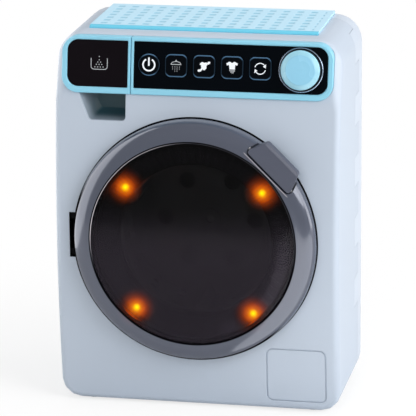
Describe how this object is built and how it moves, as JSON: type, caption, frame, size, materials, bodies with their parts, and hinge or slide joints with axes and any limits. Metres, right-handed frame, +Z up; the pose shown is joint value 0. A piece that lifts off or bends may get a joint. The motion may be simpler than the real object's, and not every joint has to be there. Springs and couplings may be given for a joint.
{
  "type": "toy washing machine",
  "caption": "Front-loading toy washing machine with round glazed door, perforated drum, soap drawer, control panel with push buttons and a turning knob.",
  "frame": {"origin": "on the floor under the middle of the bounding box", "axes": "+Z up, -Y is the front with the door, +X to the right seen from the front"},
  "size_m": [0.21, 0.131, 0.2812],
  "materials": {
    "housing_grey": "satin light grey-blue moulded plastic",
    "cover_pale": "satin pale moulded plastic",
    "light_blue": "light blue glossy plastic",
    "plate_blue": "pale blue dimpled plastic",
    "panel_black": "black gloss panel",
    "trim_chrome": "bright plated ring",
    "door_grey": "dark grey gloss plastic",
    "handle_grey": "dark grey satin plastic",
    "smoked_glass": "smoked clear plastic",
    "dark_plastic": "dark inner plastic",
    "lamp_amber": "amber lamp",
    "inner_white": "plain light inner plastic",
    "drum_silver": "silver coated plastic",
    "steel": "bright steel",
    "gear_cream": "cream low-friction plastic",
    "board_green": "circuit board",
    "contact_metal": "sprung contact metal",
    "cell_jacket": "plain cell jacket",
    "foot_rubber": "soft rubber"
  },
  "bodies": {
    "housing": {"front_housing": "housing_grey", "rear_cover": "cover_pale", "top_plate": "plate_blue", "panel_bezel": "light_blue", "control_fascia": "panel_black", "knob_ring": "trim_chrome", "tub": "inner_white", "lamp_ring": "dark_plastic", "lamps": "lamp_amber", "hinge_bracket": "inner_white", "hinge_pin": "steel", "latch_strike": "inner_white", "drawer_guide": "inner_white", "control_board": "board_green", "button_switches": "dark_plastic", "knob_encoder": "dark_plastic", "sound_board": "board_green", "motor": "steel", "motor_bracket": "dark_plastic", "bracket_screws": "steel", "drum_bush": "gear_cream", "speaker": "dark_plastic", "speaker_retainer": "inner_white", "battery_box": "dark_plastic", "battery_contacts": "contact_metal", "batteries": "cell_jacket", "battery_cover": "cover_pale", "battery_cover_screw": "steel", "case_screws": "steel", "feet": "foot_rubber"},
    "door": {"door_ring": "door_grey", "door_glass": "smoked_glass", "door_inner_frame": "door_grey", "door_screws": "steel", "hinge_arm": "door_grey", "handle_pin": "steel", "handle_spring": "steel"},
    "handle": {"door_handle": "handle_grey"},
    "drum_unit": {"drum": "drum_silver", "drum_back": "drum_silver", "drum_lifters": "drum_silver", "drum_shaft": "steel", "drum_gear": "gear_cream", "drum_screw": "steel"},
    "pinion": {"motor_pinion": "gear_cream"},
    "drawer": {"drawer_front": "light_blue", "drawer_panel": "panel_black", "drawer_tray": "inner_white"},
    "power": {"power_button": "panel_black"},
    "rinse": {"rinse_button": "panel_black"},
    "spin": {"spin_button": "panel_black"},
    "dry": {"dry_button": "panel_black"},
    "cycle": {"cycle_button": "panel_black"},
    "dial": {"knob": "light_blue", "knob_shaft": "steel"}
  },
  "joints": [
    {"name": "door_hinge", "type": "hinge", "parent": "housing", "child": "door", "pos_m": [-0.0975, -0.046, 0.1314], "axis": [0, 0, -1], "range_deg": [0, 95]},
    {"name": "handle_hinge", "type": "hinge", "parent": "door", "child": "handle", "pos_m": [0.05668, -0.0587, 0.18868], "axis": [0.7071, 0, -0.7071], "range_deg": [0, 12], "stiffness_Nm_per_rad": 0.05, "springref_deg": -8.59},
    {"name": "drawer_slide", "type": "slide", "parent": "housing", "child": "drawer", "axis": [0, -1, 0], "range_m": [0, 0.045]},
    {"name": "power_press", "type": "slide", "parent": "housing", "child": "power", "axis": [0, 0.9859, -0.1673], "range_m": [0, 0.0012], "stiffness_N_per_m": 400, "springref_m": -0.0006},
    {"name": "rinse_press", "type": "slide", "parent": "housing", "child": "rinse", "axis": [0, 0.9859, -0.1673], "range_m": [0, 0.0012], "stiffness_N_per_m": 400, "springref_m": -0.0006},
    {"name": "spin_press", "type": "slide", "parent": "housing", "child": "spin", "axis": [0, 0.9859, -0.1673], "range_m": [0, 0.0012], "stiffness_N_per_m": 400, "springref_m": -0.0006},
    {"name": "dry_press", "type": "slide", "parent": "housing", "child": "dry", "axis": [0, 0.9859, -0.1673], "range_m": [0, 0.0012], "stiffness_N_per_m": 400, "springref_m": -0.0006},
    {"name": "cycle_press", "type": "slide", "parent": "housing", "child": "cycle", "axis": [0, 0.9859, -0.1673], "range_m": [0, 0.0012], "stiffness_N_per_m": 400, "springref_m": -0.0006},
    {"name": "dial_turn", "type": "hinge", "parent": "housing", "child": "dial", "pos_m": [0.076, -0.04109, 0.2584], "axis": [0, -0.9859, 0.1673], "continuous": true},
    {"name": "drum_turn", "type": "hinge", "parent": "housing", "child": "drum_unit", "pos_m": [-0.0006, 0, 0.1314], "axis": [0, -1, 0], "continuous": true},
    {"name": "pinion_turn", "type": "hinge", "parent": "housing", "child": "pinion", "pos_m": [0.0394, 0.022, 0.1314], "axis": [0, -1, 0], "continuous": true}
  ],
  "couplings": [
    {"joint": "pinion_turn", "follows": "drum_turn", "ratio": -3}
  ]
}
